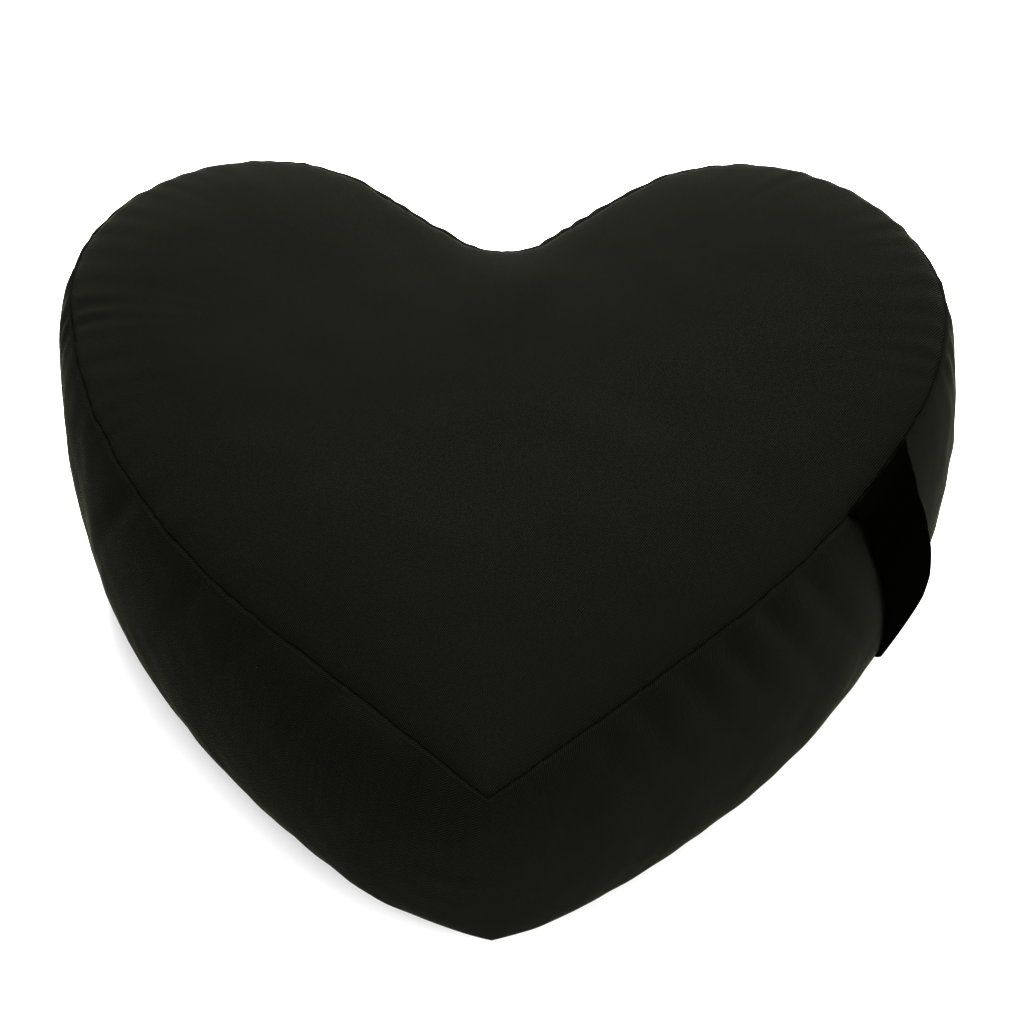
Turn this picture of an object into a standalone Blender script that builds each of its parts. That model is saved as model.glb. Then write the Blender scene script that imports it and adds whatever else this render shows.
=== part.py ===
"""Heart-shaped zafu: a filled cushion with a crowned top, a bulging side band and a strap handle.

Metres, +Z up. The tip of the heart points to -Y and its lobes to +Y. The cushion rests on z = 0.
Each sub-part is one closed mesh object with its own material.
"""
import math

import bmesh
import bpy
import numpy as np

# ---- seam line of the heart, seen from above (right half; the left half mirrors it) ----
TIP_Y = -0.1862           # where the two legs of the heart meet
TIP_HEADING = 40.0        # degrees from +X in which the right leg leaves the tip
LEG_LENGTH = 0.116        # straight part of the leg
SIDE_BENDS = (            # arcs that follow the leg: radius, heading in degrees where each ends
    (0.353, 64.0),
    (0.228, 82.0),
    (0.0842, 221.0),
)
NOTCH_RADIUS = 0.0314     # inside round of the notch between the lobes
TIP_ROUNDING = 0.019      # how broadly the band rounds the corner under the pointed seam
STEPS_PER_HALF = 88       # mesh columns from the tip to the notch

# ---- side band, in stations from the tip (0) to the notch (1) of each half ----
# spread: how far this side's seam lies outside the even heart; bulge: of the band beyond the seam
BAND_COLUMNS = (
    "station", "right_spread", "left_spread", "right_bulge", "left_bulge", "top_seam", "foot_seam", "edge_puff",
)
BAND_STATIONS = (
    (0.00, 0.0000, 0.0000, 0.0213, 0.0213, 0.1452, 0.036, 0.0020),
    (0.10, 0.0008, -0.0001, 0.0225, 0.0301, 0.1492, 0.019, 0.0020),
    (0.25, 0.0002, 0.0014, 0.0206, 0.0207, 0.1545, 0.010, 0.0020),
    (0.36, 0.0002, 0.0010, 0.0193, 0.0185, 0.1548, 0.010, 0.0025),
    (0.50, 0.0032, 0.0002, 0.0144, 0.0142, 0.1562, 0.010, 0.0036),
    (0.65, -0.0005, 0.0026, 0.0071, 0.0134, 0.1591, 0.010, 0.0036),
    (0.80, 0.0010, -0.0007, 0.0174, 0.0170, 0.1617, 0.010, 0.0032),
    (0.90, 0.0014, -0.0023, 0.0218, 0.0180, 0.1622, 0.010, 0.0036),
    (1.00, 0.0000, 0.0000, 0.0206, 0.0206, 0.1626, 0.010, 0.0040),
)
SIDED_COLUMNS = ("spread", "bulge")
BAND_RINGS = 13           # mesh rings between the two seams
BELLY_SHARE = 0.52        # share of the band's height that lies above its widest line
UPPER_FULLNESS = 1.2      # 1 is a round shoulder under the top seam, 2 a straighter one
SEAM_DRAW_IN = 0.0015     # how deep the stitching pulls both seams into the cushion

# ---- top and bottom panels ----
PANEL_CENTRE_Y = 0.010
PANEL_FRACTIONS = (0.009, 0.022, 0.045, 0.080, 0.130, 0.200, 0.300, 0.430, 0.600, 0.800)
CROWN_HEIGHT = 0.021      # middle of the top panel above the top seam
PUFF_LENGTH = 0.004       # how quickly the panel rises beside its seam
PUFF_END = 0.9            # share of the way to the middle at which the puff has died away
FOOT_FRACTIONS = (0.020, 0.060, 0.120, 0.200)
FOOT_REACH = 0.034        # distance in from the bottom seam at which the cushion touches the floor
FLOOR_SEARCH_END = 0.9    # share of the way to the middle up to which the floor line is looked for
FLOOR_SEARCH_STEPS = 120

# ---- gathers that the sewing draws in along the top seam ----
PUCKERS = (               # side of the heart, distance from the tip, depth
    (1, 0.050, 0.0015),
    (1, 0.073, 0.0025),
    (1, 0.097, 0.0025),
    (1, 0.120, 0.0035),
    (1, 0.144, 0.0035),
    (1, 0.169, 0.0030),
    (-1, 0.027, 0.0015),
    (-1, 0.081, 0.0020),
    (-1, 0.124, 0.0020),
    (-1, 0.158, 0.0018),
    (-1, 0.216, 0.0026),
)
PUCKER_HALF_WIDTH = 0.0065
PUCKER_DROP = 0.028       # how far down the band a pucker fades
PUCKER_ONSET = 0.004      # how soon below the seam it is full
LOBE_GATHER_PITCH = 0.021
LOBE_GATHER_DEPTH = 0.0012
LOBE_GATHER_REACH = 0.016
LOBE_SPAN = (0.48, 0.86)  # stations between which the lobes are gathered
LOBE_EASE = 2.0           # how steeply the gathers begin and end within that span

# ---- strap handle on the right side ----
STRAP_FROM_TIP = 0.204    # front edge, measured along the top seam
STRAP_WIDTH = 0.053
STRAP_THICKNESS = 0.0025
STRAP_STEPS_ACROSS = 6
STRAP_STEPS_DOWN = 30
STRAP_COLUMNS = ("height", "front_out", "back_out", "front_slant", "back_slant")
STRAP_PATH = (            # its edges going down: distance out from the seam line, slant along the seam
    (0.1560, 0.0010, 0.0010, 0.0000, 0.0000),
    (0.1548, 0.0082, 0.0055, 0.0006, -0.0068),
    (0.1487, 0.0108, 0.0095, 0.0012, -0.0088),
    (0.1360, 0.0138, 0.0130, 0.0031, -0.0081),
    (0.1205, 0.0177, 0.0169, 0.0066, -0.0047),
    (0.1040, 0.0199, 0.0187, 0.0102, -0.0002),
    (0.0850, 0.0210, 0.0201, 0.0149, 0.0056),
    (0.0650, 0.0206, 0.0209, 0.0186, 0.0093),
    (0.0460, 0.0181, 0.0194, 0.0240, 0.0135),
    (0.0280, 0.0143, 0.0166, 0.0325, 0.0190),
    (0.0150, 0.0087, 0.0100, 0.0410, 0.0260),
    (0.0090, 0.0038, 0.0040, 0.0460, 0.0300),
)

SEAM_SWELL = 0.001        # share of the bulge below which a ring lies on a seam
SEAM_SAMPLES = 360        # points along each half seam from which distances are measured
SHARP_ANGLE = math.radians(50.0)


def clear_objects():
    for item in list(bpy.data.objects):
        bpy.data.objects.remove(item, do_unlink=True)


def smoothstep(value):
    value = np.clip(value, 0.0, 1.0)
    return value * value * (3.0 - 2.0 * value)


def smooth_curve(places, values, wanted):
    """A curve through a short table that never overshoots its rows (monotone cubic)."""
    places = np.asarray(places, float)
    values = np.asarray(values, float)
    wanted = np.atleast_1d(np.asarray(wanted, float))
    widths = np.diff(places)
    slopes = np.diff(values) / widths
    tangents = np.zeros(len(places))
    for row in range(1, len(places) - 1):
        before = slopes[row - 1]
        after = slopes[row]
        if before * after > 0.0:
            tangents[row] = 2.0 * before * after / (before + after)
    tangents[0] = slopes[0]
    tangents[-1] = slopes[-1]
    row = np.clip(np.searchsorted(places, wanted) - 1, 0, len(widths) - 1)
    part = (wanted - places[row]) / widths[row]
    rest = 1.0 - part
    return (values[row] * rest * rest * (1.0 + 2.0 * part)
            + values[row + 1] * part * part * (3.0 - 2.0 * part)
            + tangents[row] * widths[row] * part * rest * rest
            - tangents[row + 1] * widths[row] * part * part * rest)


def arc_shift(radius, start, finish):
    """Displacement along an arc that turns from one heading to another (negative: to the right)."""
    return radius * np.array([math.sin(finish) - math.sin(start), math.cos(start) - math.cos(finish)])


def seam_pieces():
    """The right half of the heart as tangent pieces: (radius or None, start, finish, length)."""
    heading = math.radians(TIP_HEADING)
    pieces = [(None, heading, heading, LEG_LENGTH)]
    x = LEG_LENGTH * math.cos(heading)
    for radius, finish_degrees in SIDE_BENDS:
        finish = math.radians(finish_degrees)
        pieces.append((radius, heading, finish, radius * (finish - heading)))
        x += arc_shift(radius, heading, finish)[0]
        heading = finish
    notch_x = arc_shift(-NOTCH_RADIUS, heading, math.pi)[0]
    flank = -(x + notch_x) / math.cos(heading)
    pieces.append((None, heading, heading, flank))
    pieces.append((-NOTCH_RADIUS, heading, math.pi, NOTCH_RADIUS * (heading - math.pi)))
    return pieces


def seam_point(distance):
    """Point and heading on the right half seam, at a distance from the tip along the seam."""
    place = np.array([0.0, TIP_Y])
    pieces = seam_pieces()
    for radius, start, finish, length in pieces:
        step = min(distance, length)
        if radius is None:
            turned = start
            shift = step * np.array([math.cos(start), math.sin(start)])
        else:
            turned = start + step / radius
            shift = arc_shift(radius, start, turned)
        place = place + shift
        distance -= step
        if distance <= 0.0:
            break
    return place, turned


HALF_LENGTH = sum(piece[3] for piece in seam_pieces())


def out_direction(distance, heading):
    """Unit vector out of the heart; it turns the corner smoothly beside the tip."""
    turned = heading * distance / math.hypot(distance, TIP_ROUNDING)
    facing = turned - math.pi / 2.0
    return np.array([math.cos(facing), math.sin(facing)])


def corner_setback(distance):
    """How far the rounded band lies behind the sharp corner of the seam, towards the middle."""
    return math.sin(math.radians(TIP_HEADING)) * (math.hypot(distance, TIP_ROUNDING) - distance)


def table_column(table, names, wanted):
    place = names.index(wanted)
    return [row[place] for row in table]


def station_value(wanted, side, distance):
    if wanted in SIDED_COLUMNS:
        wanted = ("right_" if side > 0 else "left_") + wanted
    stations = table_column(BAND_STATIONS, BAND_COLUMNS, "station")
    values = table_column(BAND_STATIONS, BAND_COLUMNS, wanted)
    return float(smooth_curve(stations, values, distance / HALF_LENGTH)[0])


def seam_place(side, distance):
    """Point on one side's seam line and its outward direction, at a distance from the tip."""
    point, heading = seam_point(distance)
    outward = out_direction(distance, heading)
    point = point + outward * station_value("spread", side, distance)
    mirror = np.array([side, 1.0])
    return point * mirror, outward * mirror


def seam_columns():
    """Mesh columns once round the heart: side, distance from the tip, point, outward direction."""
    steps = [(1, step) for step in range(STEPS_PER_HALF + 1)]
    steps += [(-1, step) for step in range(STEPS_PER_HALF - 1, 0, -1)]
    columns = []
    for side, step in steps:
        distance = HALF_LENGTH * step / STEPS_PER_HALF
        columns.append((side, distance, *seam_place(side, distance)))
    return columns


def seam_outline():
    """Closely spaced points of the whole seam line, and the length that each one stands for."""
    step = HALF_LENGTH / SEAM_SAMPLES
    places = []
    for side in (1, -1):
        for sample in range(SEAM_SAMPLES):
            places.append(seam_place(side, (sample + 0.5) * step)[0])
    return np.array(places), step


OUTLINE, OUTLINE_STEP = seam_outline()


def depth_inside(points):
    """A smooth distance in from the seam: exact beside a straight seam, rounded in corners."""
    gaps = np.linalg.norm(points[:, None, :] - OUTLINE[None, :, :], axis=2)
    return np.sqrt(2.0 / (OUTLINE_STEP * np.sum(1.0 / np.maximum(gaps, OUTLINE_STEP / 2.0) ** 3, axis=1)))


def pucker_depth(side, distance):
    """How deep the sewing draws the band in at this place along the top seam."""
    depth = 0.0
    for pucker_side, centre, full in PUCKERS:
        if pucker_side == side:
            depth += full * math.exp(-((distance - centre) / PUCKER_HALF_WIDTH) ** 2)
    return depth


def lobe_gather(distance):
    """Ripple height along the edge of the lobes."""
    station = distance / HALF_LENGTH
    middle = (LOBE_SPAN[0] + LOBE_SPAN[1]) / 2.0
    half_span = (LOBE_SPAN[1] - LOBE_SPAN[0]) / 2.0
    inside = float(smoothstep(LOBE_EASE * (1.0 - abs(station - middle) / half_span)))
    return LOBE_GATHER_DEPTH * inside * math.cos(2.0 * math.pi * distance / LOBE_GATHER_PITCH)


def band_point(side, distance, point, outward, turn):
    """A point on the band; turn runs from 0 at the top seam to pi at the bottom seam."""
    bulge = station_value("bulge", side, distance)
    top = station_value("top_seam", side, distance)
    foot = station_value("foot_seam", side, distance)
    height = top - foot
    if turn < math.pi / 2.0:
        swell = math.sin(turn) ** UPPER_FULLNESS
        drop = height * BELLY_SHARE * (1.0 - math.cos(turn))
    else:
        swell = max(math.sin(turn), 0.0)
        drop = height - height * (1.0 - BELLY_SHARE) * (1.0 + math.cos(turn))
    fade = math.exp(-drop / PUCKER_DROP) * (1.0 - math.exp(-drop / PUCKER_ONSET))
    out = bulge * swell - pucker_depth(side, distance) * fade
    if swell < SEAM_SWELL:
        out -= SEAM_DRAW_IN
    flat = point + outward * out
    return (flat[0], flat[1] + corner_setback(distance) * swell, top - drop)


def max_depth(columns):
    """Largest smooth distance from the seam that any place on the panel has."""
    centre = np.array([0.0, PANEL_CENTRE_Y])
    deepest = 0.0
    for fraction in PANEL_FRACTIONS:
        places = np.array([column[2] + (centre - column[2]) * fraction for column in columns])
        deepest = max(deepest, float(depth_inside(places).max()))
    return deepest


def top_panel_ring(columns, fraction, deepest):
    centre = np.array([0.0, PANEL_CENTRE_Y])
    flat = np.array([column[2] + (centre - column[2]) * fraction for column in columns])
    depth = depth_inside(flat)
    mean_top = np.mean([station_value("top_seam", column[0], column[1]) for column in columns])
    ring = []
    for (side, distance, _point, _outward), place, inset in zip(columns, flat, depth):
        top = station_value("top_seam", side, distance)
        base = top + (mean_top - top) * float(smoothstep(fraction))
        crown = CROWN_HEIGHT * (1.0 - (1.0 - min(inset / deepest, 1.0)) ** 2)
        puff = station_value("edge_puff", side, distance) * (1.0 - math.exp(-inset / PUFF_LENGTH))
        puff *= 1.0 - float(smoothstep(fraction / PUFF_END))
        ripple = lobe_gather(distance) * math.exp(-inset / LOBE_GATHER_REACH)
        ripple *= 1.0 - math.exp(-inset / PUFF_LENGTH)
        ring.append((place[0], place[1], base + crown + puff + ripple))
    return ring


def bottom_panel_ring(columns, fraction):
    centre = np.array([0.0, PANEL_CENTRE_Y])
    flat = np.array([column[2] + (centre - column[2]) * fraction for column in columns])
    depth = depth_inside(flat)
    ring = []
    for (side, distance, _point, _outward), place, inset in zip(columns, flat, depth):
        foot = station_value("foot_seam", side, distance)
        lift = max(1.0 - inset / FOOT_REACH, 0.0) ** 2
        ring.append((place[0], place[1], foot * lift))
    return ring


def floor_ring(columns):
    """Edge of the flat face that the cushion rests on, just inside the reach of the foot."""
    centre = np.array([0.0, PANEL_CENTRE_Y])
    ring = []
    for column in columns:
        fractions = np.linspace(FOOT_FRACTIONS[-1], FLOOR_SEARCH_END, FLOOR_SEARCH_STEPS)
        places = column[2] + (centre - column[2]) * fractions[:, None]
        depth = depth_inside(places)
        first = int(np.argmax(depth >= FOOT_REACH))
        ring.append((places[first][0], places[first][1], 0.0))
    return ring


def skin_rings(mesh, rings):
    """Closed rings of equal length joined by quads, from the top of the object downward."""
    loops = []
    for ring in rings:
        loops.append([mesh.verts.new(place) for place in ring])
    for upper, lower in zip(loops, loops[1:]):
        count = len(upper)
        for index in range(count):
            following = (index + 1) % count
            mesh.faces.new((upper[index], lower[index], lower[following], upper[following]))
    return loops


def make_object(name, mesh, material):
    bmesh.ops.recalc_face_normals(mesh, faces=mesh.faces)
    data = bpy.data.meshes.new(name)
    mesh.to_mesh(data)
    mesh.free()
    item = bpy.data.objects.new(name, data)
    bpy.context.scene.collection.objects.link(item)
    data.materials.append(material)
    data.shade_smooth()
    data.set_sharp_from_angle(angle=SHARP_ANGLE)
    return item


def fabric_material(name, colour, roughness):
    material = bpy.data.materials.new(name)
    material.use_nodes = True
    shader = material.node_tree.nodes["Principled BSDF"]
    shader.inputs["Base Color"].default_value = (*colour, 1.0)
    shader.inputs["Roughness"].default_value = roughness
    shader.inputs["Metallic"].default_value = 0.0
    material.diffuse_color = (*colour, 1.0)
    return material


def build_cushion():
    columns = seam_columns()
    deepest = max_depth(columns)
    rings = []
    for fraction in reversed(PANEL_FRACTIONS):
        rings.append(top_panel_ring(columns, fraction, deepest))
    for step in range(BAND_RINGS + 2):
        turn = math.pi * step / (BAND_RINGS + 1)
        rings.append([band_point(*column, turn) for column in columns])
    for fraction in FOOT_FRACTIONS:
        rings.append(bottom_panel_ring(columns, fraction))
    rings.append(floor_ring(columns))
    mesh = bmesh.new()
    loops = skin_rings(mesh, rings)
    peak_height = max(place[2] for place in rings[0])
    peak = mesh.verts.new((0.0, PANEL_CENTRE_Y, peak_height))
    first = loops[0]
    for index in range(len(first)):
        mesh.faces.new((peak, first[index], first[(index + 1) % len(first)]))
    mesh.faces.new(loops[-1])
    return make_object("cushion", mesh, fabric_material("twill_black", (0.010, 0.011, 0.008), 0.85))


def strap_grid():
    """Centre surface of the strap: rows down its length, places across its width."""
    places = np.linspace(0.0, 1.0, len(STRAP_PATH))
    down = np.linspace(0.0, 1.0, STRAP_STEPS_DOWN + 1)
    height, front, back, front_slant, back_slant = [
        smooth_curve(places, table_column(STRAP_PATH, STRAP_COLUMNS, name), down) for name in STRAP_COLUMNS
    ]
    grid = []
    for row in range(STRAP_STEPS_DOWN + 1):
        line = []
        for step in range(STRAP_STEPS_ACROSS + 1):
            across = step / STRAP_STEPS_ACROSS
            slant = front_slant[row] * (1.0 - across) + back_slant[row] * across
            distance = STRAP_FROM_TIP + STRAP_WIDTH * across + slant
            point, outward = seam_place(1, distance)
            flat = point + outward * (front[row] * (1.0 - across) + back[row] * across)
            line.append((flat[0], flat[1], height[row]))
        grid.append(line)
    return np.array(grid)


def build_strap():
    grid = strap_grid()
    along = np.gradient(grid, axis=0)
    across = np.gradient(grid, axis=1)
    normals = np.cross(along, across)
    normals /= np.linalg.norm(normals, axis=2, keepdims=True)
    rows, count, _axes = grid.shape
    mesh = bmesh.new()
    sheets = []
    for side in (1.0, -1.0):
        sheet = grid + normals * (side * STRAP_THICKNESS / 2.0)
        sheets.append([[mesh.verts.new(place) for place in line] for line in sheet])
    for sheet in sheets:
        for row in range(rows - 1):
            for step in range(count - 1):
                mesh.faces.new((sheet[row][step], sheet[row][step + 1],
                                sheet[row + 1][step + 1], sheet[row + 1][step]))
    first, second = sheets
    for row in range(rows - 1):
        for edge in (0, count - 1):
            mesh.faces.new((first[row][edge], first[row + 1][edge],
                            second[row + 1][edge], second[row][edge]))
    for row in (0, rows - 1):
        for step in range(count - 1):
            mesh.faces.new((first[row][step], first[row][step + 1],
                            second[row][step + 1], second[row][step]))
    return make_object("handle_strap", mesh, fabric_material("webbing_black", (0.003, 0.003, 0.002), 0.9))


clear_objects()
build_cushion()
build_strap()
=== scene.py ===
"""Heart-shaped zafu in black cotton twill with a webbing strap handle, on a pale floor.

Metres, +Z up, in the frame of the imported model: the tip of the heart points to -Y.
"""
import math
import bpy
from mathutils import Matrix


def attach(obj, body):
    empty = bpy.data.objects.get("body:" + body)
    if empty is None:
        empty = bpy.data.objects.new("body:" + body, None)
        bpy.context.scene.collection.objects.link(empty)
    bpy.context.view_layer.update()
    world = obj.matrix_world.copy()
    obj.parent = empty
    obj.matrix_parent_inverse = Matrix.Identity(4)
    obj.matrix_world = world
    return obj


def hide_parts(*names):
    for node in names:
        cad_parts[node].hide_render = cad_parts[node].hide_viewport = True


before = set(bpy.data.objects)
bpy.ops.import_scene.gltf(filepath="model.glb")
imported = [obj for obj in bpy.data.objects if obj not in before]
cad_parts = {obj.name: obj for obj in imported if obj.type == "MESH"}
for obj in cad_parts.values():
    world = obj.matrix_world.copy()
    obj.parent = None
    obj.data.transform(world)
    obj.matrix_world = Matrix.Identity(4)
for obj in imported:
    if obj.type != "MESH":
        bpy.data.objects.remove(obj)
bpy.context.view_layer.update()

from types import SimpleNamespace

import bpy
import numpy as np
from mathutils import Matrix, Vector

# ---- seam line of the heart, as in the solids ----
TIP_Y = -0.1862
TIP_HEADING = 40.0
LEG_LENGTH = 0.116
SIDE_BENDS = ((0.353, 64.0), (0.228, 82.0), (0.0842, 221.0))
NOTCH_RADIUS = 0.0314
TIP_ROUNDING = 0.019

BAND_COLUMNS = (
    "station", "right_spread", "left_spread", "right_bulge", "left_bulge",
    "top_seam", "foot_seam", "edge_puff",
)
BAND_STATIONS = (
    (0.00, 0.0000, 0.0000, 0.0213, 0.0213, 0.1452, 0.036, 0.0020),
    (0.10, 0.0008, -0.0001, 0.0225, 0.0301, 0.1492, 0.019, 0.0020),
    (0.25, 0.0002, 0.0014, 0.0206, 0.0207, 0.1545, 0.010, 0.0020),
    (0.36, 0.0002, 0.0010, 0.0193, 0.0185, 0.1548, 0.010, 0.0025),
    (0.50, 0.0032, 0.0002, 0.0144, 0.0142, 0.1562, 0.010, 0.0036),
    (0.65, -0.0005, 0.0026, 0.0071, 0.0134, 0.1591, 0.010, 0.0036),
    (0.80, 0.0010, -0.0007, 0.0174, 0.0170, 0.1617, 0.010, 0.0032),
    (0.90, 0.0014, -0.0023, 0.0218, 0.0180, 0.1622, 0.010, 0.0036),
    (1.00, 0.0000, 0.0000, 0.0206, 0.0206, 0.1626, 0.010, 0.0040),
)
BELLY_SHARE = 0.52        # how far down the band its widest line lies
UPPER_FULLNESS = 1.2      # above 1 the band swells out later below the top seam
PANEL_CENTRE = np.array([0.0, 0.010])
PANEL_PROBES = (0.43, 0.60, 0.80)   # the panel's full depth is read this far in
CROWN_HEIGHT = 0.021
PUFF_LENGTH = 0.004       # the panel's edge puffs up beside the seam
PUFF_END = 0.9
FOOT_REACH = 0.034        # from the bottom seam in to the flat face
FLOOR_TRIES = np.linspace(0.02, 0.9, 120)   # shares of the way in that are tried for it
MEAN_TOP = 0.1574         # height of the top seam, averaged round the heart

# ---- how finely the cloth is built ----
STEPS_PER_HALF = 312
UPPER_BAND_RINGS = 34
LOWER_BAND_RINGS = 28
TOP_PANEL_RINGS = 62
BOTTOM_PANEL_RINGS = 26
RING_CROWDING = 1.7       # rings crowd towards the seams
SEAM_SAMPLES = 360
POINTS_AT_ONCE = 8192     # keeps the distance tables small
TOLERANCE = 1e-12         # of a place on the seam, against rounding

# ---- stitched seams ----
SEAM_DEPTH = 0.0021
SEAM_BAND_WIDTH = 0.0007
SEAM_PANEL_WIDTH = 0.0005
SEAM_LEDGE = 0.0007       # the band cloth rolls up beside the seam
SEAM_LEDGE_PLACE = 0.0016
SEAM_LEDGE_WIDTH = 0.00096
SEAM_PAINTED_SHADE_REACH = 0.0006     # painted shade: the cloth colour is darkened beside the seam, in place of the shadow in its groove
STITCH_PITCH = 0.0032
STITCH_SHARE = 0.15
SEAM_WANDER = 0.0002      # the line is not quite even, sideways and in height
SEAM_WANDER_REACH = 0.006
SIDEWAYS_LAYERS = ((1.0, 0.030, 3), (0.5, 0.009, 4))   # share, wavelength, seed
LIFT_LAYERS = ((1.0, 0.022, 5), (0.4, 0.008, 6))

# ---- unevenness of the filled cloth: depth, wavelength, seed ----
PANEL_SAGS = ((0.0006, 0.11, 21), (0.0002, 0.035, 22))
PANEL_SAG_ONSET = 0.02
BAND_FOLDS = ((0.0004, 0.045, 31),)
BAND_FOLD_STRETCH = (1.0, 0.45)     # drawn out down the band
BAND_DIMPLES = ((0.00015, 0.02, 32),)
BAND_FOLD_ONSET = 0.012
WAVES = 14
WAVELENGTH_SPREAD = (0.75, 1.5)

# ---- short creases under the tip: place along the seam, drop, length, width, depth ----
CREASES = (
    (-0.016, 0.046, 0.020, 0.0030, 0.0007),
    (-0.006, 0.058, 0.017, 0.0028, 0.0006),
    (-0.026, 0.064, 0.019, 0.0030, 0.0007),
    (0.010, 0.070, 0.014, 0.0028, 0.0005),
    (-0.012, 0.079, 0.018, 0.0030, 0.0006),
)

# ---- strap handle ----
STRAP_FROM_TIP = 0.204
STRAP_WIDTH = 0.053
STRAP_THICKNESS = 0.0022
STRAP_EDGE_SHARE = 0.2    # of the thickness, left at the very edge
STRAP_SHARP_ANGLE = 60.0
STRAP_STEPS_ACROSS = 36
STRAP_STEPS_DOWN = 150
STRAP_COLUMNS = ("height", "front_out", "back_out", "front_slant", "back_slant")
STRAP_PATH = (
    (0.1560, 0.0010, 0.0010, 0.0000, 0.0000),
    (0.1548, 0.0082, 0.0055, 0.0006, -0.0068),
    (0.1487, 0.0108, 0.0095, 0.0012, -0.0088),
    (0.1360, 0.0138, 0.0130, 0.0031, -0.0081),
    (0.1205, 0.0177, 0.0169, 0.0066, -0.0047),
    (0.1040, 0.0199, 0.0187, 0.0102, -0.0002),
    (0.0850, 0.0210, 0.0201, 0.0149, 0.0056),
    (0.0650, 0.0206, 0.0209, 0.0186, 0.0093),
    (0.0460, 0.0181, 0.0194, 0.0240, 0.0135),
    (0.0280, 0.0143, 0.0166, 0.0325, 0.0190),
    (0.0150, 0.0087, 0.0100, 0.0410, 0.0260),
    (0.0090, 0.0038, 0.0040, 0.0460, 0.0300),
)

# ---- puckers that the sewing draws in: side of the heart, distance from the tip, depth ----
PUCKERS = (
    (1, 0.050, 0.0015),
    (1, 0.073, 0.0025),
    (1, 0.097, 0.0025),
    (1, 0.120, 0.0035),
    (1, 0.144, 0.0035),
    (1, 0.169, 0.0030),
    (-1, 0.027, 0.0015),
    (-1, 0.081, 0.0020),
    (-1, 0.124, 0.0020),
    (-1, 0.158, 0.0018),
    (-1, 0.216, 0.0026),
)
PUCKER_HALF_WIDTH = 0.0064
PUCKER_DROP = 0.034       # they fade out down the band
PUCKER_ONSET = 0.004
PUCKER_LEAN = 0.42        # they lean away from the tip as they go down
RIGHT_PUCKER_SHARE = 1.7  # the soft cloth dips deeper than the coarse solid shows
LEFT_PUCKER_SHARE = 2.2

# ---- gathers along the lobes: a span is two shares of the way from tip to notch ----
PANEL_GATHER_SPAN = (0.42, 0.80)
BAND_GATHER_SPAN = (0.42, 1.06)
GATHER_FADE = 2.5         # how steeply they set in at the ends of a span
GATHER_LEAST = 0.06       # share left outside the span
GATHER_PITCH = 0.0142
GATHER_DEPTH = 0.0011
GATHER_REACH = 0.0130
BAND_GATHER_SHARE = 1.4
BAND_GATHER_REACH = 0.012
GATHER_DRIFTS = ((1.6, 0.07, 11),)  # radians, wavelength, seed
GATHER_STRENGTH = 0.62
GATHER_STRENGTHS = ((0.36, 0.045, 12),)


def smoothstep(value):
    value = np.clip(value, 0.0, 1.0)
    return value * value * (3.0 - 2.0 * value)


def smooth_curve(places, values, wanted):
    """A curve through a short table that never overshoots its rows (monotone cubic)."""
    places = np.asarray(places, float)
    values = np.asarray(values, float)
    wanted = np.asarray(wanted, float)
    widths = np.diff(places)
    slopes = np.diff(values) / widths
    tangents = np.zeros(len(places))
    for row in range(1, len(places) - 1):
        before = slopes[row - 1]
        after = slopes[row]
        if before * after > 0.0:
            tangents[row] = 2.0 * before * after / (before + after)
    tangents[0] = slopes[0]
    tangents[-1] = slopes[-1]
    row = np.clip(np.searchsorted(places, wanted) - 1, 0, len(widths) - 1)
    part = (wanted - places[row]) / widths[row]
    rest = 1.0 - part
    return (values[row] * rest * rest * (1.0 + 2.0 * part)
            + values[row + 1] * part * part * (3.0 - 2.0 * part)
            + tangents[row] * widths[row] * part * rest * rest
            - tangents[row + 1] * widths[row] * part * part * rest)


def soft_noise(places, wavelength, seed):
    """Smooth random relief about -1 to 1 over points of any dimension, from plane waves."""
    places = np.asarray(places, float)
    random = np.random.default_rng(seed)
    total = np.zeros(places.shape[:-1])
    for _wave in range(WAVES):
        facing = random.normal(size=places.shape[-1])
        facing /= np.linalg.norm(facing)
        pace = 2.0 * math.pi / (wavelength * random.uniform(*WAVELENGTH_SPREAD))
        total += np.cos(places @ facing * pace + random.uniform(0.0, 2.0 * math.pi))
    return total / math.sqrt(WAVES)


def layered_noise(places, layers):
    """Reliefs of several sizes added up; a layer is its depth, wavelength and seed."""
    return sum(depth * soft_noise(places, wavelength, seed) for depth, wavelength, seed in layers)


# ---------------------------------------------------------------- seam line
def arc_shift(radius, start, finish):
    return radius * np.array([np.sin(finish) - np.sin(start), np.cos(start) - np.cos(finish)])


def seam_pieces():
    """The right half of the heart as tangent pieces: (radius or None, start, finish, length)."""
    heading = math.radians(TIP_HEADING)
    pieces = [(None, heading, heading, LEG_LENGTH)]
    x = LEG_LENGTH * math.cos(heading)
    for radius, finish_degrees in SIDE_BENDS:
        finish = math.radians(finish_degrees)
        pieces.append((radius, heading, finish, radius * (finish - heading)))
        x += arc_shift(radius, heading, finish)[0]
        heading = finish
    notch_x = arc_shift(-NOTCH_RADIUS, heading, math.pi)[0]
    flank = -(x + notch_x) / math.cos(heading)
    pieces.append((None, heading, heading, flank))
    pieces.append((-NOTCH_RADIUS, heading, math.pi, NOTCH_RADIUS * (heading - math.pi)))
    return pieces


PIECES = seam_pieces()
HALF_LENGTH = sum(piece[3] for piece in PIECES)


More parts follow.
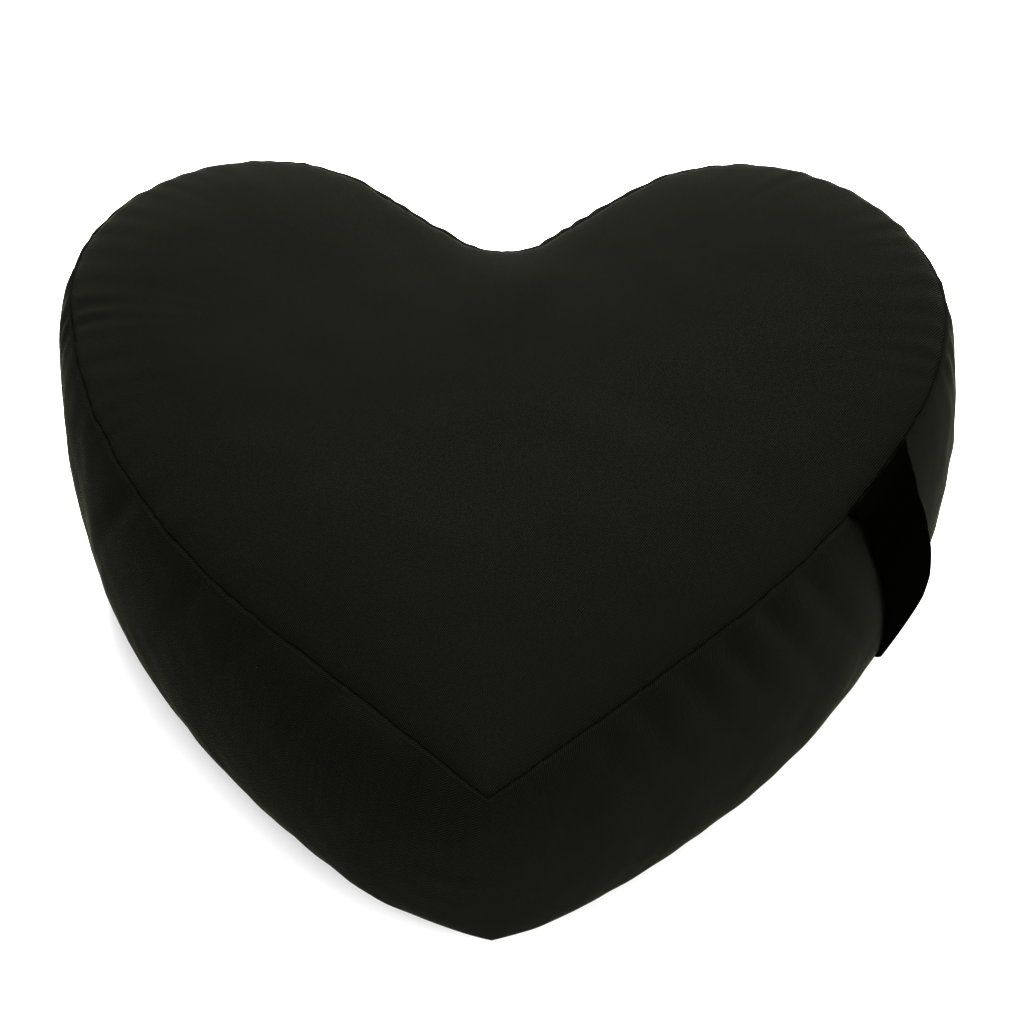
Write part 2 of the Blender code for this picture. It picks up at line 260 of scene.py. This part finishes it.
def seam_points(distances):
    """Points and headings on the right half seam, at distances from the tip."""
    distances = np.asarray(distances, float)
    places = np.zeros((len(distances), 2))
    headings = np.zeros(len(distances))
    start_place = np.array([0.0, TIP_Y])
    passed = 0.0
    for number, (radius, start, finish, length) in enumerate(PIECES):
        last = number == len(PIECES) - 1
        here = (distances >= passed - TOLERANCE) & ((distances <= passed + length) | last)
        step = distances[here] - passed
        if radius is None:
            turned = np.full(len(step), start)
            shift = step[:, None] * np.array([math.cos(start), math.sin(start)])
            whole = length * np.array([math.cos(start), math.sin(start)])
        else:
            turned = start + step / radius
            shift = arc_shift(radius, start, turned).T
            whole = arc_shift(radius, start, finish)
        places[here] = start_place + shift
        headings[here] = turned
        start_place = start_place + whole
        passed += length
    return places, headings


def table_column(table, names, wanted):
    place = names.index(wanted)
    return [row[place] for row in table]


def station_values(name, distances):
    stations = table_column(BAND_STATIONS, BAND_COLUMNS, "station")
    values = table_column(BAND_STATIONS, BAND_COLUMNS, name)
    return smooth_curve(stations, values, distances / HALF_LENGTH)


def sided_values(name, side, distances):
    right = station_values("right_" + name, distances)
    left = station_values("left_" + name, distances)
    return np.where(side > 0, right, left)


def seam_places(side, distances):
    """Points on either side's seam line, and their outward directions."""
    points, headings = seam_points(distances)
    facing = headings * distances / np.hypot(distances, TIP_ROUNDING) - math.pi / 2.0
    outward = np.stack([np.cos(facing), np.sin(facing)], axis=1)
    points = points + outward * sided_values("spread", side, distances)[:, None]
    mirror = np.stack([side.astype(float), np.ones(len(side))], axis=1)
    return points * mirror, outward * mirror


def mesh_columns(steps):
    """Side and distance from the tip of each mesh column once round the heart."""
    side = np.concatenate([np.ones(steps + 1, int), -np.ones(steps - 1, int)])
    step = np.concatenate([np.arange(steps + 1), np.arange(steps - 1, 0, -1)])
    return side, HALF_LENGTH * step / steps


def seam_outline():
    step = HALF_LENGTH / SEAM_SAMPLES
    distances = (np.arange(SEAM_SAMPLES) + 0.5) * step
    right = seam_places(np.ones(SEAM_SAMPLES, int), distances)[0]
    left = seam_places(-np.ones(SEAM_SAMPLES, int), distances)[0]
    return np.vstack([right, left]), step


OUTLINE, OUTLINE_STEP = seam_outline()


def depth_inside(points):
    """A smooth distance in from the seam: exact beside a straight seam, rounded in corners."""
    depth = np.empty(len(points))
    for start in range(0, len(points), POINTS_AT_ONCE):
        block = points[start:start + POINTS_AT_ONCE]
        gaps = np.linalg.norm(block[:, None, :] - OUTLINE[None, :, :], axis=2)
        total = np.sum(1.0 / np.maximum(gaps, OUTLINE_STEP / 2.0) ** 3, axis=1)
        depth[start:start + POINTS_AT_ONCE] = np.sqrt(2.0 / (OUTLINE_STEP * total))
    return depth


def towards_middle(point, share):
    """Part of the way from the seam to the middle of the panel."""
    return point + (PANEL_CENTRE - point) * share


def max_panel_depth(point):
    return max(float(depth_inside(towards_middle(point, share)).max()) for share in PANEL_PROBES)


def floor_shares(point):
    """Share of the way in at which each column of the bottom panel meets the floor."""
    found = np.full(len(point), FLOOR_TRIES[-1])
    for share in FLOOR_TRIES[::-1]:
        depth = depth_inside(towards_middle(point, share))
        found = np.where(depth >= FOOT_REACH, share, found)
    return found


def add_object(name, data):
    item = bpy.data.objects.new(name, data)
    bpy.context.scene.collection.objects.link(item)
    return item


# ---------------------------------------------------------------- cushion
def bell(offset, width):
    return np.exp(-(offset / width) ** 2)


def setting_in(distance, onset):
    """0 at the seam, close to 1 a few onsets away."""
    return 1.0 - np.exp(-distance / onset)


def crowded(count):
    """Ring places from 0 to 1 that start close together."""
    return (np.arange(count + 1) / count) ** RING_CROWDING


def heart_columns():
    """What the panels and the band share at each mesh column round the heart."""
    side, distance = mesh_columns(STEPS_PER_HALF)
    point, outward = seam_places(side, distance)
    along = side * distance   # the tip is 0, the right half positive
    return SimpleNamespace(
        side=side,
        distance=distance,
        point=point,
        outward=outward,
        along=along,
        top=station_values("top_seam", distance),
        foot=station_values("foot_seam", distance),
        stitch=1.0 + STITCH_SHARE * np.cos(2.0 * math.pi * along / STITCH_PITCH),
        wander=SEAM_WANDER * layered_noise(along[:, None], SIDEWAYS_LAYERS),
        lift=SEAM_WANDER * layered_noise(along[:, None], LIFT_LAYERS),
    )


def seam_groove(heart, distance, width):
    return SEAM_DEPTH * heart.stitch * bell(distance, width)


def gather_relief(heart, span_ends):
    """Uneven ripple along the edge of the lobes, about -1 to 1."""
    along = heart.along[:, None]
    phase = 2.0 * math.pi * heart.along / GATHER_PITCH + layered_noise(along, GATHER_DRIFTS)
    strength = GATHER_STRENGTH + layered_noise(along, GATHER_STRENGTHS)
    middle = (span_ends[0] + span_ends[1]) / 2.0
    half_span = (span_ends[1] - span_ends[0]) / 2.0
    station = heart.distance / HALF_LENGTH
    span = smoothstep(GATHER_FADE * (1.0 - np.abs(station - middle) / half_span))
    return (GATHER_LEAST + (1.0 - GATHER_LEAST) * span) * strength * np.cos(phase)


def pucker_depth(side, distance):
    depth = np.zeros(len(distance))
    for pucker_side, centre, full in PUCKERS:
        dip = full * bell(distance - centre, PUCKER_HALF_WIDTH)
        depth += np.where(side == pucker_side, dip, 0.0)
    return depth


def crease_depth(along, drop):
    depth = np.zeros(len(along))
    for centre, fall, length, width, full in CREASES:
        depth += full * bell(along - centre, length) * bell(drop - fall, width)
    return depth


def top_panel(heart):
    """Rings from near the middle of the panel out to the seam, and their painted seam shade."""
    puff = station_values("edge_puff", heart.distance)
    gather = gather_relief(heart, PANEL_GATHER_SPAN)
    deepest = max_panel_depth(heart.point)
    rings = []
    painted_shades = []
    for share in crowded(TOP_PANEL_RINGS)[1:-1][::-1]:
        flat = towards_middle(heart.point, share)
        inset = depth_inside(flat)
        off_seam = setting_in(inset, PUFF_LENGTH)
        near_seam = np.exp(-inset / SEAM_WANDER_REACH)
        height = heart.top + (MEAN_TOP - heart.top) * smoothstep(share)
        height += CROWN_HEIGHT * (1.0 - (1.0 - np.minimum(inset / deepest, 1.0)) ** 2)
        height += puff * off_seam * (1.0 - smoothstep(share / PUFF_END))
        height += GATHER_DEPTH * gather * np.exp(-inset / GATHER_REACH) * off_seam
        height += layered_noise(flat, PANEL_SAGS) * setting_in(inset, PANEL_SAG_ONSET)
        height -= seam_groove(heart, inset, SEAM_PANEL_WIDTH)
        height += heart.lift * near_seam
        place = flat + heart.outward * (heart.wander * near_seam)[:, None]
        rings.append(np.column_stack([place, height]))
        painted_shades.append(bell(inset, SEAM_PAINTED_SHADE_REACH))
    return rings, painted_shades


def band_turns():
    """Angles from 0 at the top seam over a quarter turn at the belly to a half at the foot."""
    upper = crowded(UPPER_BAND_RINGS) * math.pi / 2.0
    lower = math.pi - crowded(LOWER_BAND_RINGS)[::-1] * math.pi / 2.0
    return np.concatenate([upper, lower[1:]])


def side_band(heart):
    """Rings from the top seam to the bottom seam, their painted seam shade and cloth coordinates.
    """
    bulge = sided_values("bulge", heart.side, heart.distance)
    height = heart.top - heart.foot
    # the bulge rounds the corner at the tip, so there it is set back from it
    rounding = np.hypot(heart.distance, TIP_ROUNDING) - heart.distance
    setback = math.sin(math.radians(TIP_HEADING)) * rounding
    gather = gather_relief(heart, BAND_GATHER_SPAN)
    pucker_share = np.where(heart.side > 0, RIGHT_PUCKER_SHARE, LEFT_PUCKER_SHARE)
    rings = []
    painted_shades = []
    cloth = []
    run = np.zeros(len(heart.distance))
    for turn in band_turns():
        if turn <= math.pi / 2.0:
            swell = math.sin(turn) ** UPPER_FULLNESS
            drop = height * BELLY_SHARE * (1.0 - math.cos(turn))
        else:
            swell = max(math.sin(turn), 0.0)
            drop = height - height * (1.0 - BELLY_SHARE) * (1.0 + math.cos(turn))
        smooth_out = bulge * swell
        from_top = np.hypot(smooth_out, drop)
        from_foot = np.hypot(smooth_out, height - drop)
        near_seam = np.exp(-from_top / SEAM_WANDER_REACH)
        level = heart.top - drop

        pucker = pucker_depth(heart.side, heart.distance - PUCKER_LEAN * drop) * pucker_share
        pucker *= np.exp(-drop / PUCKER_DROP) * setting_in(drop, PUCKER_ONSET)
        ripple = BAND_GATHER_SHARE * GATHER_DEPTH * gather * np.exp(-from_top / BAND_GATHER_REACH)
        ripple *= setting_in(from_top, PUFF_LENGTH)
        ledge = SEAM_LEDGE * bell(from_top - SEAM_LEDGE_PLACE, SEAM_LEDGE_WIDTH)
        groove = seam_groove(heart, from_top, SEAM_BAND_WIDTH)
        groove += seam_groove(heart, from_foot, SEAM_BAND_WIDTH)
        relief_at = np.column_stack([heart.along, level])
        fold = layered_noise(relief_at * BAND_FOLD_STRETCH, BAND_FOLDS)
        fold += layered_noise(relief_at, BAND_DIMPLES) - crease_depth(heart.along, drop)
        fold *= setting_in(from_top, BAND_FOLD_ONSET) * setting_in(from_foot, BAND_FOLD_ONSET)

        out = smooth_out - pucker + ripple + ledge - groove + fold + heart.wander * near_seam
        place = heart.point + heart.outward * out[:, None]
        place[:, 1] += setback * swell
        ring = np.column_stack([place, level + heart.lift * near_seam])
        if rings:
            run = run + np.linalg.norm(ring - rings[-1], axis=1)
        rings.append(ring)
        painted_shades.append(bell(from_top, SEAM_PAINTED_SHADE_REACH) + bell(from_foot, SEAM_PAINTED_SHADE_REACH))
        cloth.append(np.column_stack([heart.along, -run]))
    return rings, painted_shades, cloth


def bottom_panel(heart):
    """Rings from the bottom seam in to the edge of the flat face, and their painted seam shade.
    """
    floor_share = floor_shares(heart.point)
    rings = []
    painted_shades = []
    for part in crowded(BOTTOM_PANEL_RINGS)[1:]:
        flat = towards_middle(heart.point, (floor_share * part)[:, None])
        inset = depth_inside(flat)
        rise = heart.foot * np.maximum(1.0 - inset / FOOT_REACH, 0.0) ** 2
        rise += seam_groove(heart, inset, SEAM_PANEL_WIDTH)
        rings.append(np.column_stack([flat, rise]))
        painted_shades.append(bell(inset, SEAM_PAINTED_SHADE_REACH))
    return rings, painted_shades


def ring_faces(ring_count, columns):
    """Quads between the rings, then the triangles that close the top and the foot."""
    ring, column = np.meshgrid(np.arange(ring_count - 1), np.arange(columns), indexing="ij")
    following = (column + 1) % columns
    quads = np.stack([
        ring * columns + column,
        (ring + 1) * columns + column,
        (ring + 1) * columns + following,
        ring * columns + following,
    ], axis=2).reshape(-1, 4)
    column = np.arange(columns)
    following = (column + 1) % columns
    peak = ring_count * columns
    last = peak - columns
    cap_top = np.stack([np.full(columns, peak), column, following], axis=1)
    cap_foot = np.stack([last + column, np.full(columns, peak + 1), last + following], axis=1)
    return quads.tolist() + cap_top.tolist() + cap_foot.tolist()


def corner_vertices(data):
    """The vertex of every face corner of a mesh."""
    vertex_of = np.zeros(len(data.loops), int)
    data.loops.foreach_get("vertex_index", vertex_of)
    return vertex_of


def set_cloth_coordinates(data, corners):
    layer = data.uv_layers.new(name="cloth")
    layer.data.foreach_set("uv", corners.ravel())


def cushion_coordinates(data, vertices, band_cloth, first_ring, columns):
    """Metres on the cloth: the panels as they lie, the band along its seam."""
    vertex_of = corner_vertices(data)
    corners = vertices[vertex_of, :2]
    # the quads come first, so four corners make a face up to the caps
    face_of = np.arange(len(vertex_of)) // 4
    ring_of = face_of // columns
    on_band = (ring_of >= first_ring) & (ring_of < first_ring + len(band_cloth) - 1)
    corners[on_band] = np.concatenate(band_cloth)[vertex_of[on_band] - first_ring * columns]
    # the band begins and ends at the notch: seen from the left its place is negative
    at_notch = on_band & (vertex_of % columns == STEPS_PER_HALF)
    corners[at_notch & (face_of % columns >= STEPS_PER_HALF), 0] *= -1.0
    return corners


def build_cushion():
    heart = heart_columns()
    columns = len(heart.side)
    top_rings, top_painted_shades = top_panel(heart)
    band_rings, band_painted_shades, band_cloth = side_band(heart)
    bottom_rings, bottom_painted_shades = bottom_panel(heart)
    rings = top_rings + band_rings + bottom_rings
    middles = [[*PANEL_CENTRE, rings[0][:, 2].mean()], [*PANEL_CENTRE, 0.0]]
    vertices = np.vstack(rings + [middles])
    painted_shades = np.concatenate(top_painted_shades + band_painted_shades + bottom_painted_shades + [np.zeros(len(middles))])

    data = bpy.data.meshes.new("cushion_cover")
    data.from_pydata(vertices.tolist(), [], ring_faces(len(rings), columns))
    corners = cushion_coordinates(data, vertices, band_cloth, len(top_rings), columns)
    set_cloth_coordinates(data, corners)
    # painted shade along the seam grooves: how far the cloth colour is darkened at each vertex
    painted_seam_shade = data.attributes.new("painted_seam_shade", "FLOAT", "POINT")
    painted_seam_shade.data.foreach_set("value", np.minimum(painted_shades, 1.0).astype(np.float32))
    data.shade_smooth()
    return add_object("cushion_cover", data)


# ---------------------------------------------------------------- strap
def build_strap():
    places = np.linspace(0.0, 1.0, len(STRAP_PATH))
    down = np.linspace(0.0, 1.0, STRAP_STEPS_DOWN + 1)
    height, front, back, front_slant, back_slant = [
        smooth_curve(places, table_column(STRAP_PATH, STRAP_COLUMNS, name), down)
        for name in STRAP_COLUMNS
    ]
    grid = np.zeros((STRAP_STEPS_DOWN + 1, STRAP_STEPS_ACROSS + 1, 3))
    across = np.linspace(0.0, 1.0, STRAP_STEPS_ACROSS + 1)
    for row in range(STRAP_STEPS_DOWN + 1):
        slant = front_slant[row] * (1.0 - across) + back_slant[row] * across
        distance = STRAP_FROM_TIP + STRAP_WIDTH * across + slant
        point, outward = seam_places(np.ones(len(distance), int), distance)
        out = front[row] * (1.0 - across) + back[row] * across
        grid[row, :, :2] = point + outward * out[:, None]
        grid[row, :, 2] = height[row]
    along = np.gradient(grid, axis=0)
    sideways = np.gradient(grid, axis=1)
    normals = np.cross(along, sideways)
    normals /= np.linalg.norm(normals, axis=2, keepdims=True)
    from_edge = np.minimum(across, 1.0 - across) * STRAP_WIDTH
    flatness = 1.0 - (1.0 - np.minimum(from_edge / (STRAP_THICKNESS / 2.0), 1.0)) ** 2
    roundness = np.sqrt(np.clip(flatness, STRAP_EDGE_SHARE ** 2, 1.0))
    half = (STRAP_THICKNESS / 2.0) * roundness[None, :, None]
    outer = grid + normals * half
    inner = grid - normals * half
    rows, count, _axes = grid.shape
    vertices = np.vstack([outer.reshape(-1, 3), inner.reshape(-1, 3)])
    faces = []
    offset = rows * count
    for row in range(rows - 1):
        for step in range(count - 1):
            a = row * count + step
            faces.append((a, a + count, a + count + 1, a + 1))
            faces.append((offset + a, offset + a + 1, offset + a + count + 1, offset + a + count))
    for row in range(rows - 1):
        for step, flip in ((0, False), (count - 1, True)):
            a = row * count + step
            quad = (a, offset + a, offset + a + count, a + count)
            faces.append(quad[::-1] if flip else quad)
    for row, flip in ((0, True), (rows - 1, False)):
        for step in range(count - 1):
            a = row * count + step
            quad = (a, offset + a, offset + a + 1, a + 1)
            faces.append(quad[::-1] if flip else quad)
    data = bpy.data.meshes.new("strap_webbing")
    data.from_pydata(vertices.tolist(), [], faces)
    local = corner_vertices(data) % offset
    length = float(np.linalg.norm(np.diff(grid[:, count // 2], axis=0), axis=1).sum())
    set_cloth_coordinates(data, np.column_stack([
        (local % count) / (count - 1) * STRAP_WIDTH,
        (local // count) / (rows - 1) * length,
    ]))
    data.shade_smooth()
    data.set_sharp_from_angle(angle=math.radians(STRAP_SHARP_ANGLE))
    return add_object("strap_webbing", data), length


# ---------------------------------------------------------------- materials
TWILL = {
    "colour": (0.0067, 0.0070, 0.0053),
    "roughness": 0.9,
    "pitch": 0.0008,          # between two ribs
    "lean": 35.0,             # of the ribs
    "sheen": 0.018,
    "gloss": 0.009,
    "grain": 1.0,             # strength of the bump
}
WEBBING_AND_PAINTED_SHADE = {
    # partly the webbing's own black, partly painted shade: darker than the webbing is, in place
    # of the shade the strap sits in
    "colour": (0.0008, 0.0009, 0.0004),
    "roughness": 0.9,
    "pitch": 0.0011,
    "lean": 0.0,
    "sheen": 0.0016,
    "gloss": 0.0,
    "grain": 0.6,
}
SHEEN_ROUGHNESS = 0.2
SHEEN_TINT = (0.95, 0.97, 0.62, 1.0)
GLOSS_TINT = (1.0, 1.0, 0.93, 1.0)
# painted shade: the colour laid along the seam grooves in place of their shadow
SEAM_PAINTED_SHADE_COLOUR = (0.0004, 0.0004, 0.0003, 1.0)
RIB_WOBBLE = 1.4              # radians that the ribs wander
RIB_WOBBLE_SCALE = 260.0
RIB_WOBBLE_DETAIL = 2.0
THREAD_PITCH_SHARE = 0.62     # threads along the ribs, against the pitch of the ribs
THREAD_SHARE = 0.3
BUMP_DISTANCE = 0.00012
LINT_SCALE = 900.0
LINT_DETAIL = 3.0
WEAVE_TONE = 0.55
TONE_STOPS = ((0.15, 0.55), (0.9, 1.45))   # place on the ramp, share of the colour
RIM_SHEEN = 0.23              # added where the twill is seen edge on
RIM_BLEND = 0.5
RIM_POWER = 12.0


def add_math(tree, operation, *terms):
    """Result of a math node over numbers and the outputs of other nodes."""
    node = tree.nodes.new("ShaderNodeMath")
    node.operation = operation
    for socket, term in zip(node.inputs, terms):
        if isinstance(term, bpy.types.NodeSocket):
            tree.links.new(term, socket)
        else:
            socket.default_value = term
    return node.outputs["Value"]


def add_noise(tree, place, scale, detail):
    node = tree.nodes.new("ShaderNodeTexNoise")
    node.inputs["Scale"].default_value = scale
    node.inputs["Detail"].default_value = detail
    tree.links.new(place, node.inputs["Vector"])
    return node.outputs["Fac"]


def add_weave(tree, place, pitch, lean):
    """Height of the weave: wandering ribs at an angle, crossed by finer threads."""
    turn = tree.nodes.new("ShaderNodeMapping")
    turn.inputs["Rotation"].default_value = (0.0, 0.0, math.radians(lean))
    tree.links.new(place, turn.inputs["Vector"])
    split = tree.nodes.new("ShaderNodeSeparateXYZ")
    tree.links.new(turn.outputs["Vector"], split.inputs["Vector"])
    wobble = add_noise(tree, place, RIB_WOBBLE_SCALE, RIB_WOBBLE_DETAIL)
    ribs = add_math(tree, "MULTIPLY", split.outputs["X"], 2.0 * math.pi / pitch)
    ribs = add_math(tree, "SINE", add_math(tree, "MULTIPLY_ADD", wobble, RIB_WOBBLE, ribs))
    threads = 2.0 * math.pi / (pitch * THREAD_PITCH_SHARE)
    threads = add_math(tree, "SINE", add_math(tree, "MULTIPLY", split.outputs["Y"], threads))
    return add_math(tree, "MULTIPLY_ADD", threads, THREAD_SHARE, ribs)


def fabric(name, colour, roughness, pitch, lean, sheen, gloss, grain):
    """Woven cloth whose ribs run across the cloth coordinates at an angle."""
    material = bpy.data.materials.new(name)
    material.use_nodes = True
    tree = material.node_tree
    shader = tree.nodes["Principled BSDF"]
    shader.inputs["Roughness"].default_value = roughness
    shader.inputs["Metallic"].default_value = 0.0
    shader.inputs["Sheen Weight"].default_value = sheen
    shader.inputs["Sheen Roughness"].default_value = SHEEN_ROUGHNESS
    shader.inputs["Sheen Tint"].default_value = SHEEN_TINT
    shader.inputs["Specular Tint"].default_value = GLOSS_TINT
    shader.inputs["Specular IOR Level"].default_value = gloss

    uv_map = tree.nodes.new("ShaderNodeUVMap")
    uv_map.uv_map = "cloth"
    place = uv_map.outputs["UV"]
    weave = add_weave(tree, place, pitch, lean)
    bump = tree.nodes.new("ShaderNodeBump")
    bump.inputs["Strength"].default_value = grain
    bump.inputs["Distance"].default_value = BUMP_DISTANCE
    tree.links.new(weave, bump.inputs["Height"])
    tree.links.new(bump.outputs["Normal"], shader.inputs["Normal"])

    lint = add_noise(tree, place, LINT_SCALE, LINT_DETAIL)
    ramp = tree.nodes.new("ShaderNodeValToRGB")
    for element, (position, share) in zip(ramp.color_ramp.elements, TONE_STOPS):
        element.position = position
        element.color = (*[channel * share for channel in colour], 1.0)
    tree.links.new(add_math(tree, "MULTIPLY_ADD", weave, WEAVE_TONE, lint), ramp.inputs["Fac"])
    tree.links.new(ramp.outputs["Color"], shader.inputs["Base Color"])
    return material


def add_painted_seam_shade_and_nap(material, sheen):
    """Painted shade along the seam lines, and a nap that catches light where the cloth is seen
    edge on.
    """
    tree = material.node_tree
    shader = tree.nodes["Principled BSDF"]
    cloth_colour = shader.inputs["Base Color"].links[0].from_socket
    # painted shade: the cloth colour is darkened along the seams, in place of the shadow in their
    # grooves, and the sheen is taken out there
    painted_seam_shade = tree.nodes.new("ShaderNodeAttribute")
    painted_seam_shade.attribute_name = "painted_seam_shade"
    paint_seam_shade = tree.nodes.new("ShaderNodeMix")
    paint_seam_shade.data_type = "RGBA"
    paint_seam_shade.inputs["B"].default_value = SEAM_PAINTED_SHADE_COLOUR
    tree.links.new(painted_seam_shade.outputs["Fac"], paint_seam_shade.inputs["Factor"])
    tree.links.new(cloth_colour, paint_seam_shade.inputs["A"])
    tree.links.new(paint_seam_shade.outputs["Result"], shader.inputs["Base Color"])

    edge_on = tree.nodes.new("ShaderNodeLayerWeight")
    edge_on.inputs["Blend"].default_value = RIM_BLEND
    narrow = add_math(tree, "POWER", edge_on.outputs["Facing"], RIM_POWER)
    nap = add_math(tree, "MULTIPLY_ADD", narrow, RIM_SHEEN, sheen)
    outside_painted_shade = add_math(tree, "SUBTRACT", 1.0, painted_seam_shade.outputs["Fac"])
    tree.links.new(add_math(tree, "MULTIPLY", nap, outside_painted_shade), shader.inputs["Sheen Weight"])


# ---------------------------------------------------------------- pieces
cushion = build_cushion()
twill = fabric("twill_cloth", **TWILL)
add_painted_seam_shade_and_nap(twill, TWILL["sheen"])
cushion.data.materials.append(twill)
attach(cushion, "root")
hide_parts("cushion")

strap, strap_length = build_strap()
# the strap's colour is partly its own black and partly painted shade
strap.data.materials.append(fabric("webbing_cloth_and_painted_shade", **WEBBING_AND_PAINTED_SHADE))
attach(strap, "root")
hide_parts("handle_strap")

# ---------------------------------------------------------------- camera
CAMERA_ELEVATION = 50.0
CAMERA_YAW = 1.782
CAMERA_ROLL = -0.591
CAMERA_DISTANCE = 1.1
CAMERA_TARGET = Vector((0.003497, 0.040655, 0.050))
CAMERA_LENS = 79.06
SENSOR_WIDTH = 36.0
CLIP_START = 0.05
CLIP_END = 50.0


def direction(azimuth, elevation):
    """Unit vector; the azimuth turns from +Y towards +X, both in degrees."""
    azimuth = math.radians(azimuth)
    elevation = math.radians(elevation)
    level = math.cos(elevation)
    return Vector((math.sin(azimuth) * level, math.cos(azimuth) * level, math.sin(elevation)))


def add_camera():
    roll = math.radians(CAMERA_ROLL)
    back = direction(180.0 - CAMERA_YAW, CAMERA_ELEVATION)
    right = (-back).cross(Vector((0.0, 0.0, 1.0))).normalized()
    up = right.cross(-back)
    rolled_right = right * math.cos(roll) + up * math.sin(roll)
    rolled_up = -right * math.sin(roll) + up * math.cos(roll)
    camera = bpy.data.cameras.new("camera")
    camera.lens = CAMERA_LENS
    camera.sensor_width = SENSOR_WIDTH
    camera.clip_start = CLIP_START
    camera.clip_end = CLIP_END
    item = add_object("camera", camera)
    turned = Matrix((rolled_right, rolled_up, back)).transposed().to_4x4()
    item.matrix_world = Matrix.Translation(CAMERA_TARGET + back * CAMERA_DISTANCE) @ turned
    bpy.context.scene.camera = item


# ---------------------------------------------------------------- floor and light
# softboxes: name, azimuth from the back (+Y) towards the right, elevation, power
SOFTBOXES = (
    ("back_low", 0.0, 30.0, 215.0),
    ("back_right", 45.0, 35.0, 32.0),
    ("back_high", 0.0, 60.0, 60.0),
    ("front_left", -140.0, 45.0, 30.0),
    ("front_right", 140.0, 45.0, 52.0),
)
SOFTBOX_SIZE = 1.4
SOFTBOX_DISTANCE = 2.2
SOFTBOX_AIM = Vector((0.0, 0.02, 0.1))
FLOOR_REACH = 40.0
FLOOR_TONE = 0.86
FLOOR_ROUGHNESS = 0.9
FLOOR_FADE_START = 1.5
FLOOR_FADE_END = 4.0
FLOOR_DROP = 0.0002
WORLD_COLOUR = (1.0, 1.0, 1.0, 1.0)
WORLD_STRENGTH = 1.0
DISPLAY_GAMMA = 0.75


def add_floor():
    data = bpy.data.meshes.new("floor")
    signs = ((-1.0, -1.0), (1.0, -1.0), (1.0, 1.0), (-1.0, 1.0))
    corners = [(x * FLOOR_REACH, y * FLOOR_REACH, 0.0) for x, y in signs]
    data.from_pydata(corners, [], [(0, 1, 2, 3)])
    material = bpy.data.materials.new("floor_white")
    material.use_nodes = True
    tree = material.node_tree
    shader = tree.nodes["Principled BSDF"]
    # the floor turns from pale to white away from the cushion, so that no horizon shows
    place = tree.nodes.new("ShaderNodeTexCoord")
    reach = tree.nodes.new("ShaderNodeVectorMath")
    reach.operation = "LENGTH"
    fade = tree.nodes.new("ShaderNodeMapRange")
    fade.inputs["From Min"].default_value = FLOOR_FADE_START
    fade.inputs["From Max"].default_value = FLOOR_FADE_END
    fade.inputs["To Min"].default_value = FLOOR_TONE
    fade.inputs["To Max"].default_value = 1.0
    tree.links.new(place.outputs["Object"], reach.inputs[0])
    tree.links.new(reach.outputs["Value"], fade.inputs["Value"])
    tree.links.new(fade.outputs["Result"], shader.inputs["Base Color"])
    shader.inputs["Roughness"].default_value = FLOOR_ROUGHNESS
    shader.inputs["Specular IOR Level"].default_value = 0.0
    data.materials.append(material)
    item = add_object("floor", data)
    item.location.z = -FLOOR_DROP


def add_softbox(name, azimuth, elevation, power):
    light = bpy.data.lights.new(name, "AREA")
    light.shape = "SQUARE"
    light.size = SOFTBOX_SIZE
    light.energy = power
    outward = direction(azimuth, elevation)
    item = add_object(name, light)
    item.location = SOFTBOX_AIM + outward * SOFTBOX_DISTANCE
    item.rotation_euler = (-outward).to_track_quat("-Z", "Y").to_euler()


def add_world():
    world = bpy.data.worlds.new("studio")
    world.use_nodes = True
    background = world.node_tree.nodes["Background"]
    background.inputs["Color"].default_value = WORLD_COLOUR
    background.inputs["Strength"].default_value = WORLD_STRENGTH
    bpy.context.scene.world = world


add_camera()
add_floor()
add_world()
for softbox in SOFTBOXES:
    add_softbox(*softbox)
bpy.context.scene.view_settings.view_transform = "Standard"
bpy.context.scene.view_settings.look = "None"
bpy.context.scene.view_settings.gamma = DISPLAY_GAMMA

bpy.context.view_layer.update()
